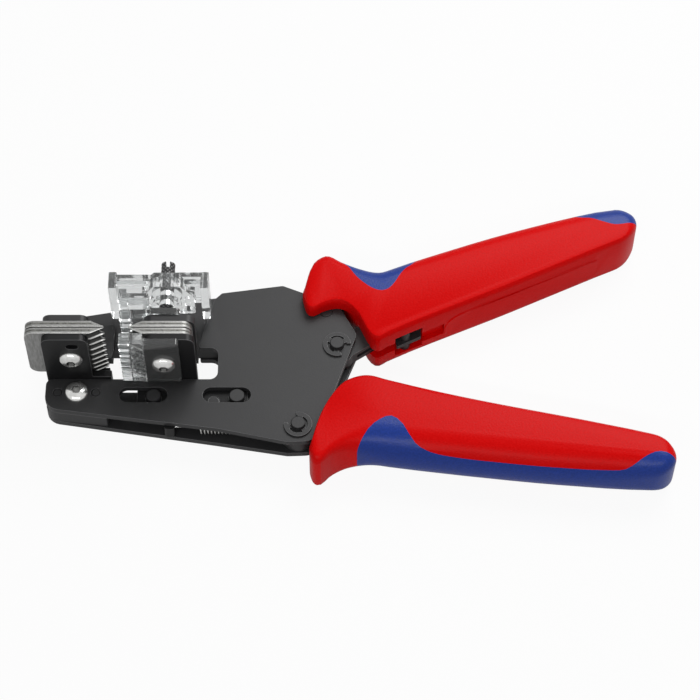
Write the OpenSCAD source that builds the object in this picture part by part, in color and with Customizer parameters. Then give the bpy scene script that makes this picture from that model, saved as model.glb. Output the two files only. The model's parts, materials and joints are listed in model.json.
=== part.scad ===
// Precision wire stripper that lies flat on its two handles. A wire is laid across the mouth between two
// pairs of form blades. The lower handle closes the moving jaws, and the upper handle swings the strip arm
// away, which pulls the cut insulation off. X runs along the tool with the jaws at -X, Y across it, and Z
// up from the handles' underside.

/* [Plates] */
// Thickness of each outer plate
plate_t = 2; // [1.6:0.1:2.6]
// Height of the space between the outer plates
core_h = 5; // [4.4:0.1:5.4]
// Width of the jaw slot through the plates
slot_w = 11.3; // [10.8:0.1:12.4]

/* [Jaws] */
// Open mouth between the blade edges, which is also the closing stroke
mouth_w = 7.3; // [6.6:0.1:7.6]
// Thickness of one blade
blade_t = 2.2; // [1.8:0.1:2.4]
// Height of the blades
blade_h = 22; // [20:0.5:24]
// Length of a fixed blade, from its edge to its far end
fixed_blade_l = 24; // [21:0.1:26]
// Length of a moving blade, from its edge to its far end
moving_blade_l = 18.9; // [16:0.1:20]
// Length of the ground bevel at the edge
bevel_l = 4.1; // [3.4:0.1:4.6]
// Number of form notches in each edge
notch_n = 8; // [4:1:9]
// Radius of the largest notch, at the top
notch_r_max = 1.55; // [1.2:0.05:1.6]
// Radius of the smallest notch, at the bottom
notch_r_min = 0.85; // [0.5:0.05:0.95]
// Thickness of the jaw brackets
bracket_t = 2.3; // [1.8:0.1:2.5]
// Height of the brackets above the top plate
bracket_h = 22.2; // [20:0.1:24]
// Width of a fixed bracket
fixed_w = 13.9; // [12:0.1:15]
// Width of a moving bracket
moving_w = 15.2; // [12:0.1:15.6]

/* [Screws and pins] */
// Diameter of the jaw and foot screws
screw_d = 4; // [3:0.1:4.4]
// Diameter of the button heads
head_d = 7.1; // [6:0.1:8]
// Height of the button heads
head_h = 2.1; // [1.6:0.1:2.6]
// Diameter of the locating dowels
dowel_d = 2.85; // [2:0.05:3.2]
// Diameter of the slide pins in the guide slots
slide_pin_d = 4.7; // [4:0.1:5]
// Diameter of the handle pivot pins
pivot_d = 4.4; // [4:0.1:5]
// Outer diameter of the retaining clips on the pivot pins
clip_d = 8.6; // [7.6:0.1:9.2]
// Thickness of the retaining clips
clip_t = 0.7; // [0.5:0.1:1]
// Diameter of the pin that holds the upper lever in its grip
handle_pin_d = 3.4; // [3:0.1:4]

/* [Handles] */
// Thickness of both handles
handle_h = 17.5; // [16.5:0.5:19]
// Height of the handles above the top plate
cheek_h = 4.75; // [4.5:0.05:5.5]
// Reach of the lower handle from its pivot
lower_reach = 113.3; // [104:0.1:120]
// Reach of the upper handle from its pivot
upper_reach = 95; // [86:0.1:100]
// Rounding of the lower handle's palm side
lower_palm_r = 8; // [6:0.1:8.2]
// Rounding of the upper handle's palm side
upper_palm_r = 5; // [4:0.1:8.2]
// Rounding of the inner edges
edge_r = 2; // [1.2:0.1:2.6]

/* [Wire guides and length stop] */
// Wall of the clear wire guides
guide_t = 2; // [1.5:0.1:2.4]
// Width of the clear length stop
stop_w = 30.4; // [28:0.2:32]
// Depth of the length stop along the wire
stop_depth = 5.8; // [5:0.1:7]
// Height of the length stop
stop_h = 17.3; // [15:0.1:18]
// Wall of the length stop
stop_wall = 2.4; // [1.6:0.1:3]
// Diameter of the knurled rod that carries the length stop
rod_d = 4.3; // [4.1:0.1:5]
// Length of the rod behind the rear guide
rod_l = 23; // [20:0.5:26]

/* [Springs] */
// Wire diameter of both springs
spring_wire = 0.5; // [0.4:0.05:0.55]
// Outer diameter of both springs
spring_d = 3.3; // [2.8:0.1:3.4]
// Curls of the carriage spring
carriage_curls = 19; // [12:1:20]
// Curls of the strip arm spring
arm_curls = 7; // [4:1:8]

/* [Fits] */
// Gap between sliding faces
run_gap = 0.15; // [0.1:0.05:0.25]
// Gap between moving parts that pass each other
free_gap = 0.3; // [0.25:0.05:0.4]
// Radial clearance of a pin that turns or slides in its bore
pin_fit = 0.05; // [0.02:0.01:0.1]
// Radial clearance of a fixed pin or screw in its hole
seat_fit = 0.03; // [0.02:0.01:0.1]

/* [Hidden] */
$fn = 48;

steel_black = "#3C3C3D";
steel_ground = "#9A9A98";
steel_bright = "#D8D8D8";
clear_plastic = "#E6ECEE";
grip_red = "#CE1B1B";
grip_blue = "#2C468F";

// Plan of the tool: the middle of its box, and the axes that everything else is set out from
pivot_a = [-4, 1.8];
pivot_b = [-15.7, -26.7];
arm_pivot = [-7.5, 14.3];
fixed_tip = -73.6;
moving_tip = fixed_tip + mouth_w;
jaw_mid = -5.9;
centre = [(fixed_tip - fixed_blade_l + pivot_b[0] + lower_reach)/2 - 0.015, 3.628];

// Heights
stack_h = 2*plate_t + core_h;
z_top = handle_h - cheek_h;
z_lid = z_top - plate_t;
z_core = z_lid - core_h;
z_low = z_core - plate_t;
z_mid = z_core + core_h/2;
axis_h = 11.7;
z_axis = z_top + axis_h;
blade_lift = 0.5;
z_blade = z_top + blade_lift;
part_h = core_h - 2*run_gap;
half_h = core_h/2 - run_gap;

// Layers of the jaw across the tool
blade_split = 0.2;
front_blade_y = jaw_mid - blade_t;
front_face = front_blade_y - bracket_t;
rear_blade_y = jaw_mid + blade_t;
rear_face = rear_blade_y + bracket_t;
slot_front = front_face - 0.1;
slot_rear = slot_front + slot_w;
arm_front = slot_rear + 0.4;

// Stations along the jaw
fixed_x1 = fixed_tip - 4.9;
fixed_x0 = fixed_x1 - fixed_w;
fixed_screw_x = fixed_tip - 10.5;
foot_x = fixed_tip - 9.65;
foot_x1 = fixed_tip + 0.8;
base_lift = 1.3;
moving_x0 = moving_tip + 4.5;
moving_x1 = moving_x0 + moving_w;
moving_screw_x = moving_tip + 10.2;
carriage_x0 = moving_tip + 1.3;

// Front foot, guide slots and slide pins
foot_y = -15.2;
foot_front = -19.4;
dowel_step = 5.8;
guide_y = -16.05;
slide_x = [-59.9, -34.5];
slot_spare = [0.75, 2];
slide_slot_d = slide_pin_d + 2*free_gap;
rear_guide_y = 6.4;
rear_slide_x = [-58.6, -50.6];
rear_foot_y = 5.2;
rear_foot_back = 9.6;

// Drives: the lower lever moves the front carriage, the upper lever moves the strip arm
lower_turn = 22;
drive_r = mouth_w/2/sin(lower_turn/2);
drive_tip_r = 2.5;
drive_neck = 3.4;
drive_rest = 90 - lower_turn/2;
drive_tip = pivot_b + drive_r*[cos(drive_rest), sin(drive_rest)];
drive_end = drive_tip[1] + drive_tip_r + 2.35;
arm_turn = 8;
arm_tip = [-22, 4];
plate_corner_r = 6.5;
lever_boss_r = 5.4;
plate_edge_angle = 67;
tongue_x = -55;
tongue_pin = [tongue_x, -0.6];
tongue_pin_d = 3;

function unit(v) = v/norm(v);
function flat(p) = [p[0], p[1]];

// Arc that rounds the corner at b between a and c with the radius in b's third value
function corner(a, b, c, n) =
    let (u = unit(flat(a) - flat(b)), v = unit(flat(c) - flat(b)), h = acos(u*v)/2,
         o = flat(b) + unit(u + v)*b[2]/sin(h),
         s = flat(b) + u*b[2]/tan(h) - o, e = flat(b) + v*b[2]/tan(h) - o,
         a0 = atan2(s[1], s[0]), turn = atan2(s[0]*e[1] - s[1]*e[0], s*e))
    [for (k = [0:n]) o + b[2]*[cos(a0 + turn*k/n), sin(a0 + turn*k/n)]];

// Outline through [x, y, corner radius] points
function rounded(p, n = 6) = [for (i = [0:len(p) - 1])
    each p[i][2] == 0 ? [flat(p[i])] : corner(p[(i + len(p) - 1) % len(p)], p[i], p[(i + 1) % len(p)], n)];

// Straight bar of width w from a to b
function bar(a, b, w) = let (u = unit(b - a), v = w/2*[-u[1], u[0]]) [a - v, b - v, b + v, a + v];

// Smooth curve through [x, y] points, read at x
function slope(p, i) = let (a = max(i - 1, 0), b = min(i + 1,
    len(p) - 1)) (p[b][1] - p[a][1])/(p[b][0] - p[a][0]);
function curve(p, x) =
    let (i = min(len(p) - 2, max(0, len([for (q = p) if (q[0] <= x) 1]) - 1)),
         d = p[i + 1][0] - p[i][0], t = (x - p[i][0])/d)
    (2*t^3 - 3*t^2 + 1)*p[i][1] + (t^3 - 2*t^2 + t)*slope(p, i)*d
    + (3*t^2 - 2*t^3)*p[i + 1][1] + (t^3 - t^2)*slope(p, i + 1)*d;

module placed() {
    translate([-centre[0], -centre[1], 0]) children();
}

// Plate cut to an outline between two heights
module sheet(outline, z0, h) {
    translate([0, 0, z0]) linear_extrude(h) polygon(outline);
}

// Wall cut to an outline in X and Z, standing between y0 and y0 + t
module wall(outline, y0, t) {
    translate([0, y0 + t, 0]) rotate([90, 0, 0]) linear_extrude(t) polygon(outline);
}

module hole(at, d, z0, h) {
    translate([at[0], at[1], z0]) cylinder(d = d, h = h);
}

module cross_hole(x, z, d, y0, l) {
    translate([x, y0, z]) rotate([-90, 0, 0]) cylinder(d = d, h = l);
}

// Straight slot with round ends along X
module slot_cut(x0, x1, y, d, z0, h) {
    hole([x0 + d/2, y], d, z0, h);
    hole([x1 - d/2, y], d, z0, h);
    translate([x0 + d/2, y - d/2, z0]) cube([x1 - x0 - d, d, h]);
}

// Button head screw with a hexagon socket, its head above z = 0 and its shank below
module button_screw(shank) {
    crown = [for (k = [0:6]) [head_d/2*cos(13*k), 0.3 + (head_h - 0.3)*sin(13*k)/sin(78)]];
    difference() {
        union() {
            rotate_extrude() polygon(concat([[0, 0], [head_d/2, 0]], crown, [[0, head_h]]));
            translate([0, 0, -shank]) cylinder(d = screw_d, h = shank + 0.1);
        }
        translate([0, 0, head_h - 1.2]) cylinder(d = 2.9, h = 2, $fn = 6);
    }
}

// Heights and radii of the form notches, the largest at the top
notch_r = [for (i = [0:notch_n - 1]) notch_r_min + (notch_r_max - notch_r_min)*i/(notch_n - 1)];
function sum_to(v, i) = i < 0 ? 0 : v[i] + sum_to(v, i - 1);
notch_land = (blade_h - 2*sum_to(notch_r, notch_n - 1))/(notch_n + 1);
notch_z = [for (i = [0:notch_n - 1]) z_blade + notch_land*(i + 1) + 2*sum_to(notch_r, i - 1) + notch_r[i]];

// Form grooves that run along the bevel from the outer face to the edge, half round where they meet the edge
module notches(tip, way, mate_y, outer_y) {
    across = mate_y - outer_y;
    run = norm([bevel_l, across]);
    inward = [-way*abs(across), sign(across)*bevel_l]/run;
    for (i = [0:notch_n - 1]) {
        deep = notch_r[i]*abs(across)/run;
        translate([tip - way*bevel_l/2, mate_y - across/2, notch_z[i]])
            rotate([90, 0, atan2(inward[1], inward[0])]) linear_extrude(2*run, center = true)
                polygon(concat([[-1, -notch_r[i]]], [for (a = [-90:30:90]) [deep*cos(a), notch_r[i]*sin(a)]],
                    [[-1, notch_r[i]]]));
    }
}

// Blade with its edge at x = tip, running to x = tip - way*l, between the mating plane and its outer face
module blade(tip, way, l, mate_y, outer_y, screw_x) {
    plan = [[tip, mate_y], [tip - way*bevel_l, outer_y], [tip - way*l, outer_y], [tip - way*l, mate_y]];
    far = tip - way*l;
    low_y = min(mate_y, outer_y);
    color(steel_ground) placed() difference() {
        intersection() {
            sheet(plan, z_blade, blade_h);
            wall(rounded([[tip, z_blade, 0], [tip, z_blade + blade_h, 0],
                [far, z_blade + blade_h, 3], [far, z_blade, 3]]), low_y, blade_t);
        }
        notches(tip, way, mate_y, outer_y);
        cross_hole(screw_x, z_axis, screw_d + 2*seat_fit, low_y - 1, blade_t + 2);
    }
}

// Outline of an outer plate: the front edge of its jaw slot, the bend of its front edge and its corner
// beside the handles
plate_end = fixed_tip - 19.2;
plate_front = [plate_end, -20.7, 4.6];
slot_end = -40.5;
top_bend = [-40, -27.9, 40];
function plate_form(slot_edge, bend, side) = rounded([
    [plate_end, slot_edge, 2], [slot_end, slot_edge, 2.5], [slot_end, slot_rear, 2.5],
        [slot_end - 6.2, slot_rear, 0.6],
    [-42.2, 18.6, 1], [-40, 20.9, 1], [-21, 23.7, 2], [-12, 19.9, 3], [-5.2, 19.3, 3], side,
    [pivot_b[0] + plate_corner_r*1.08, pivot_b[1] + plate_corner_r*0.1, 0.5],
    [pivot_b[0] + plate_corner_r*0.75, pivot_b[1] - plate_corner_r*0.85, 4],
    [pivot_b[0] - plate_corner_r*0.5, pivot_b[1] - plate_corner_r*0.9, 4], bend, plate_front]);

module guide_slots() {
    for (x = slide_x)
        slot_cut(x - mouth_w - slide_pin_d/2 - slot_spare[0], x + slide_pin_d/2 + slot_spare[1], guide_y,
            slide_slot_d, z_low - 1, stack_h + 2);
}

module outer_plate(z0, form) {
    difference() {
        sheet(form, z0, plate_t);
        for (p = [pivot_a, pivot_b, arm_pivot]) hole(p, pivot_d + 2*seat_fit, z0 - 1, plate_t + 2);
        hole([foot_x, foot_y], screw_d + 2*seat_fit, z0 - 1, plate_t + 2);
        for (s = [-1, 1]) hole([foot_x + s*dowel_step, foot_y], dowel_d + 2*seat_fit, z0 - 1, plate_t + 2);
    }
}

module top_plate() {
    color(steel_black) placed() difference() {
        outer_plate(z_lid, plate_form(slot_front, top_bend, [2.15, 5.7, 3.5]));
        guide_slots();
    }
}

module bottom_plate() {
    color(steel_black) placed() difference() {
        outer_plate(z_low, plate_form(slot_front - 0.55, [-40, -29.05, 40], [3.3, 5.2, 3.5]));
        for (p = [spring_post_at, arm_post_at]) hole(p, post_d + 2*seat_fit, z_low - 1, plate_t + 2);
    }
}

// Block that fills the front end of the core under the bracket's foot
module front_spacer() {
    inner_end = fixed_tip - 0.1;
    front_slope = (top_bend[1] - plate_front[1])/(top_bend[0] - plate_end);
    form = rounded([[plate_end, slot_front, 2], [inner_end, slot_front, 0.5],
        [inner_end, plate_front[1] + front_slope*(inner_end - plate_end), 0.5], plate_front]);
    color(steel_black) placed() difference() {
        sheet(form, z_core, core_h);
        translate([plate_end - 2, foot_front, z_lid - core_h/2])
            cube([foot_x1 - plate_end + 2.1, slot_front - foot_front + 1, core_h]);
        hole([foot_x, foot_y], screw_d + 2*seat_fit, z_core - 1, core_h + 2);
        for (s = [-1, 1]) hole([foot_x + s*dowel_step, foot_y], dowel_d + 2*seat_fit, z_core - 1,
            core_h + 2);
    }
}

// Upright of a fixed bracket: a wide base and a narrower wing with rounded corners
function fixed_wing(z0) = rounded([[fixed_x0, z0, 0], [foot_x1, z0, 0], [foot_x1, z_top + base_lift, 0.4],
    [fixed_x1, z_top + base_lift, 0.4], [fixed_x1, z_top + bracket_h, 2.5],
        [fixed_x0, z_top + bracket_h, 2.5]]);

module bracket_holes(x, y0) {
    cross_hole(x, z_axis, screw_d + 2*seat_fit, y0 - 1, bracket_t + 2);
}

module fixed_bracket_front() {
    foot_z = z_lid - core_h/2;
    color(steel_black) placed() difference() {
        union() {
            wall(fixed_wing(foot_z), front_face, bracket_t);
            translate([fixed_x0 + 2, front_blade_y - 0.1, foot_z])
                cube([fixed_tip + 0.1 - fixed_x0 - 2, blade_t + 0.1 - free_gap, z_top - free_gap - foot_z]);
            sheet(rounded([[fixed_x0, front_face + 0.1, 0], [foot_x1, front_face + 0.1, 0],
                [foot_x1, foot_front, 1],
                [fixed_x0 + 2, foot_front, 2], [fixed_x0, foot_front + 3, 2]]), foot_z, core_h/2);
        }
        bracket_holes(fixed_screw_x, front_face);
        translate([0, front_face - 1, 0]) rotate([90, 0, 0]) mirror([0, 0, 1])
            slot_cut(foot_x - 1.9, foot_x + 1.9, z_top + 18.2, 2.4, 0, bracket_t + 2);
        hole([foot_x, foot_y], screw_d + 2*seat_fit, foot_z - 1, core_h);
        for (s = [-1, 1]) hole([foot_x + s*dowel_step, foot_y], dowel_d + 2*seat_fit, foot_z - 1, core_h);
    }
}

module fixed_blade_front() {
    blade(fixed_tip, 1, fixed_blade_l, jaw_mid - blade_split, front_blade_y, fixed_screw_x);
}

module fixed_screw_front() {
    color(steel_bright) placed()
        translate([fixed_screw_x, front_face, z_axis]) rotate([90, 0, 0])
            button_screw(bracket_t + blade_t - blade_split);
}

module foot_screw_front() {
    color(steel_bright) placed() translate([foot_x, foot_y, z_top]) button_screw(stack_h);
}

module foot_dowels_front() {
    color(steel_black) placed() for (s = [-1, 1])
        hole([foot_x + s*dowel_step, foot_y], dowel_d, z_low, stack_h);
}

// Strip arm: the layer behind the jaw slot, turning on the arm pivot between the plates
arm_end = fixed_tip - 18.6;
arm_lip = drive_end + 0.8;
arm_form = rounded([
    [arm_end, arm_front, 2], [-40.6, arm_front, 1], [-37.6, arm_lip, 1.5], [-17.6, arm_lip, 1],
        [-17.6, 8.6, 1],
    [-7.5, 8.6, 0], [-7.5, 20, 0], [-30, 20, 3], [-42, 20.4, 2], [-72, 15.6, 60], [arm_end, 11.9, 3]]);
arm_post_at = [-33, 15.6];
arm_window = [-35.6, -30.4, 5.2, 18.2];
arm_boss_r = 5.8;

module strip_arm() {
    z0 = z_core + run_gap;
    drive_slot = 2*drive_tip_r + 2*free_gap;
    color(steel_black) placed() difference() {
        union() {
            sheet(arm_form, z0, part_h);
            hole(arm_pivot, 2*arm_boss_r, z0, part_h);
        }
        hole(arm_pivot, pivot_d + 2*pin_fit, z0 - 1, part_h + 2);
        translate([arm_tip[0] - drive_tip_r - 0.6, arm_tip[1] - drive_slot/2, z0 - 1])
            cube([20, drive_slot, part_h + 2]);
        sheet(rounded([[arm_window[0], arm_window[2], 0.6], [arm_window[1], arm_window[2], 0.6],
            [arm_window[1], arm_window[3], 0.6], [arm_window[0], arm_window[3], 0.6]], 4), z0 - 1,
                part_h + 2);
        slot_cut(rear_slide_x[0] - mouth_w - slide_pin_d/2 - 0.8, rear_slide_x[1] + slide_pin_d/2 + 0.8,
            rear_guide_y, slide_slot_d, z0 - 1, part_h + 2);
        hole([foot_x, rear_foot_y], screw_d + 2*seat_fit, z0 - 1, part_h + 2);
        for (s = [-1, 1]) hole([foot_x + s*dowel_step, rear_foot_y], dowel_d + 2*seat_fit, z0 - 1,
            part_h + 2);
    }
}

arm_top = z_core + run_gap + part_h;

module fixed_bracket_rear() {
    color(steel_black) placed() difference() {
        union() {
            wall(fixed_wing(arm_top), rear_blade_y, bracket_t);
            sheet(rounded([[fixed_x0, rear_face - 0.1, 0], [fixed_x0, rear_foot_back - 2.4, 2],
                [foot_x1, rear_foot_back, 1], [foot_x1, rear_face - 0.1, 0]]), arm_top, plate_t);
        }
        bracket_holes(fixed_screw_x, rear_blade_y);
        hole([foot_x, rear_foot_y], screw_d + 2*seat_fit, arm_top - 1, plate_t + 2);
        for (s = [-1, 1])
            hole([foot_x + s*dowel_step, rear_foot_y], dowel_d + 2*seat_fit, arm_top - 1, plate_t + 2);
    }
}

module fixed_blade_rear() {
    blade(fixed_tip, 1, fixed_blade_l, jaw_mid + blade_split, rear_blade_y, fixed_screw_x);
}

module fixed_screw_rear() {
    color(steel_bright) placed()
        translate([fixed_screw_x, rear_face, z_axis]) rotate([-90, 0, 0])
            button_screw(bracket_t + blade_t - blade_split);
}

module foot_screw_rear() {
    color(steel_bright) placed()
        translate([foot_x, rear_foot_y, arm_top + plate_t]) button_screw(plate_t + part_h);
}

module foot_dowels_rear() {
    color(steel_black) placed() for (s = [-1, 1])
        hole([foot_x + s*dowel_step, rear_foot_y], dowel_d, z_core + run_gap, part_h + plate_t);
}

// Front carriage: the bar between the plates, its tongue under the jaws and its driven end
carriage_low = -20;
carriage_high = slot_front - 0.5;
carriage_top = carriage_high + 3;
spring_y = -25.5;
spring_post_at = [-24, spring_y];
post_d = 3;
spring_lug = [-56.4, -53];

module front_carriage() {
    z0 = z_core + run_gap;
    foot_end = slide_x[1] + 3.6;
    drive_left = drive_tip[0] - drive_tip_r - run_gap;
    drive_right = drive_tip[0] + drive_tip_r + run_gap;
    drive_mouth = drive_tip[1] - 3.3;
    color(steel_black) placed() difference() {
        union() {
            sheet(rounded([[carriage_x0, carriage_high, 1], [carriage_x0, carriage_low, 1],
                [foot_end + 1, carriage_low, 0], [foot_end + 1, carriage_high, 0]]), z0, half_h);
            sheet(rounded([[foot_end, carriage_low, 0], [drive_tip[0] - 6, carriage_low, 1],
                [drive_left - 1.6, -18, 0],
                [drive_left, drive_mouth, 0], [drive_right, drive_mouth, 0],
                    [drive_right + 2.05, drive_mouth, 0.6],
                [drive_right + 2.05, drive_end, 1.5], [drive_left - 2.6, drive_end, 1],
                    [drive_left - 5, carriage_top, 1],
                [-36.5, carriage_top, 1], [foot_end, carriage_high, 0]]), z0, part_h);
            sheet(rounded([[spring_lug[0], carriage_low + 1, 0], [spring_lug[0], spring_y - 1.4, 1],
                [spring_lug[1], spring_y - 1.4, 1], [spring_lug[1], carriage_low + 1, 0]]), z0, half_h);
            sheet(rounded([[spring_lug[0], carriage_low - free_gap, 0.5], [spring_lug[0], spring_y - 1.4, 1],
                [spring_lug[1], spring_y - 1.4, 1], [spring_lug[1], carriage_low - free_gap, 0.5]]), z0,
                    part_h);
            translate([tongue_x - 2.5, carriage_high - 1, z0])
                cube([5, tongue_pin[1] + 1.4 - carriage_high + 1, half_h]);
        }
        translate([drive_left, drive_mouth - 1, z0 - 1])
            cube([drive_right - drive_left, drive_tip[1] + drive_tip_r + 0.75 - drive_mouth + 1,
                part_h + 2]);
        for (x = slide_x) hole([x, guide_y], slide_pin_d + 2*seat_fit, z0 - 1, part_h + 2);
        hole(rivet_at, rivet_d + 2*seat_fit, z0 - 1, part_h + 2);
        hole(tongue_pin, tongue_pin_d + 2*seat_fit, z0 - 1, part_h + 2);
    }
}

module moving_bracket_front() {
    foot_z = z_lid - run_gap - half_h;
    foot_end = slide_x[1] + 3.4;
    color(steel_black) placed() difference() {
        union() {
            wall(rounded([[moving_x0, foot_z, 0], [moving_x1, foot_z, 0],
                [moving_x1, z_top + bracket_h, 2.5],
                [moving_x0, z_top + bracket_h, 2.5]]), front_face + 0.1, bracket_t - 0.1);
            sheet(rounded([[carriage_x0, carriage_high, 1], [carriage_x0, carriage_low, 1],
                [foot_end, carriage_low, 1], [foot_end, carriage_high, 1]]), foot_z, half_h);
            translate([moving_x0, carriage_high - 0.1, foot_z]) cube([moving_x1 - moving_x0, 1.2, half_h]);
        }
        bracket_holes(moving_screw_x, front_face);
        for (x = slide_x) hole([x, guide_y], slide_pin_d + 2*seat_fit, foot_z - 1, half_h + 2);
        hole(rivet_at, rivet_d + 2*seat_fit, foot_z - 1, half_h + 2);
    }
}

module moving_blade_front() {
    blade(moving_tip, -1, moving_blade_l, jaw_mid - blade_split, front_blade_y, moving_screw_x);
}

module moving_screw_front() {
    color(steel_bright) placed()
        translate([moving_screw_x, front_face + 0.1 - guide_t, z_axis]) rotate([90, 0, 0])
            button_screw(guide_t + bracket_t - 0.1 + blade_t - blade_split);
}

module slide_pins_front() {
    color(steel_black) placed()
        for (x = slide_x) hole([x, guide_y], slide_pin_d, z_core + run_gap, z_top - 0.2 - z_core - run_gap);
}

rivet_at = [-41.5, -17.1];
rivet_d = 3.4;

module carriage_rivet() {
    color(steel_black) placed() hole(rivet_at, rivet_d, z_core + run_gap, part_h);
}

module carriage_drive_pin() {
    color(steel_black) placed()
        hole(tongue_pin, tongue_pin_d, z_core + run_gap, rear_foot_z + plate_t - z_core - 0.4);
}

// Rear carriage: the moving rear bracket slides on the strip arm and is pushed along by the drive pin
rear_foot_z = arm_top + run_gap;

module moving_bracket_rear() {
    fork_d = tongue_pin_d + 2*free_gap;
    from_pivot = tongue_pin - [mouth_w/2, 0] - arm_pivot;
    fork_angle = atan2(from_pivot[1], from_pivot[0]) + 90 + arm_turn/2;
    fork_front = front_blade_y + free_gap;
    foot_t = plate_t - run_gap;
    color(steel_black) placed() difference() {
        union() {
            wall(rounded([[moving_x0, rear_foot_z, 0], [moving_x1, rear_foot_z, 0],
                [moving_x1, z_top + bracket_h, 2.5], [moving_x0, z_top + bracket_h, 2.5]]), rear_blade_y,
                    bracket_t);
            sheet(rounded([[moving_x0 - 0.6, rear_face - 0.1, 0], [moving_x0 - 0.6, rear_foot_back, 1.5],
                [moving_x1 - 1.2, rear_foot_back, 1.5], [moving_x1 - 1.2, rear_face - 0.1, 0]]),
                    rear_foot_z, foot_t);
            sheet(rounded([[tongue_x - 4.4, rear_blade_y + 0.1, 0], [tongue_x - 2, fork_front, 1],
                [tongue_x + 6.4, fork_front, 1], [tongue_x + 6.4, rear_blade_y + 0.1, 0]]), rear_foot_z,
                    foot_t);
        }
        bracket_holes(moving_screw_x, rear_blade_y);
        for (x = rear_slide_x)
            hole([x, rear_guide_y], slide_pin_d + 2*seat_fit, rear_foot_z - 1, plate_t + 2);
        hole(tongue_pin, fork_d, rear_foot_z - 1, plate_t + 1.2);
        translate([tongue_pin[0], tongue_pin[1], rear_foot_z - 1]) rotate(fork_angle)
            translate([0, -fork_d/2, 0]) cube([12, fork_d, plate_t + 1.2]);
    }
}

module moving_blade_rear() {
    blade(moving_tip, -1, moving_blade_l, jaw_mid + blade_split, rear_blade_y, moving_screw_x);
}

module slide_pins_rear() {
    head_d_low = 7;
    head_t = 1;
    color(steel_black) placed() for (x = rear_slide_x) {
        hole([x, rear_guide_y], slide_pin_d, z_core - head_t,
            rear_foot_z + plate_t - run_gap - z_core + head_t);
        hole([x, rear_guide_y], head_d_low, z_core - head_t, head_t);
    }
}

// Clear wire guides: a plate on the bracket and a comb beside the blade edge, notched in line with the blade
guide_x0 = moving_tip - 2.7;
guide_x1 = moving_x1 - 4.5;
guide_z0 = z_top + base_lift + 0.4;
guide_h = 21.2;
comb_gap = 0.3;
comb_share = 0.42;

module comb_notches(y0, l) {
    for (i = [0:notch_n - 1]) {
        r = comb_share*notch_r[i];
        cross_hole(moving_tip, notch_z[i], 2*r, y0 - 1, l + 2);
        translate([guide_x0 - 1, y0 - 1, notch_z[i] - r]) cube([moving_tip - guide_x0 + 1, l + 2, 2*r]);
    }
}

module wire_guide_front() {
    y0 = front_face + 0.1 - guide_t;
    comb_l = front_blade_y - comb_gap - y0;
    color(clear_plastic, 0.4) placed() difference() {
        union() {
            wall(rounded([[guide_x0, guide_z0, 0.5], [guide_x1, guide_z0, 1],
                [guide_x1, guide_z0 + guide_h, 1],
                [guide_x0, guide_z0 + guide_h, 0.5]]), y0, guide_t);
            translate([guide_x0, y0, guide_z0]) cube([moving_x0 - comb_gap - guide_x0, comb_l, guide_h]);
        }
        comb_notches(y0, comb_l);
        cross_hole(moving_screw_x, z_axis, screw_d + 2*seat_fit, y0 - 1, guide_t + 2);
    }
}

module wire_guide_rear() {
    y0 = rear_blade_y + comb_gap;
    comb_l = rear_face + guide_t - y0;
    tab_y = rear_face + 1.4;
    tab_h = 29.4;
    color(clear_plastic, 0.4) placed() difference() {
        union() {
            wall(rounded([[guide_x0, guide_z0, 0.5], [guide_x1, guide_z0, 1],
                [guide_x1, guide_z0 + guide_h, 1],
                [guide_x0, guide_z0 + guide_h, 0.5]]), rear_face, guide_t);
            translate([guide_x0, y0, guide_z0]) cube([moving_x0 - comb_gap - guide_x0, comb_l, guide_h]);
            wall(rounded([[guide_x0, z_axis, 0.5], [guide_x0 + 8.9, z_axis, 1],
                [guide_x0 + 8.9, z_top + tab_h, 0.6],
                [guide_x0, z_top + tab_h, 0.3]]), tab_y, 1.6);
            cross_hole(moving_screw_x, z_axis, 11, rear_face, guide_t);
            translate([guide_x0, tab_y, z_axis]) cube([2.3, 3.1, z_top + tab_h - z_axis]);
        }
        comb_notches(y0, comb_l + 4);
        cross_hole(moving_screw_x, z_axis, screw_d + 2*seat_fit, rear_face - 1, guide_t + 4);
    }
}

rod_y0 = rear_face + guide_t;

module stop_rod() {
    color(steel_black) placed() translate([moving_screw_x, 0, z_axis]) rotate([-90, 0, 0]) difference() {
        union() {
            translate([0, 0, jaw_mid + blade_split]) cylinder(d = screw_d, h = rod_y0 - jaw_mid);
            translate([0, 0, rod_y0]) cylinder(d = 6.4, h = 1.2);
            translate([0, 0, rod_y0]) cylinder(d = rod_d, h = rod_l);
        }
        translate([-0.6, -rod_d, rod_y0 + rod_l - 2]) cube([1.2, 2*rod_d, 3]);
    }
}

// Clear length stop: two end walls, a back web and a boss that slides on the rod
stop_y = 9.4;
stop_x0 = moving_screw_x - 17.3;
stop_z0 = z_axis - 8.6;

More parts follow.
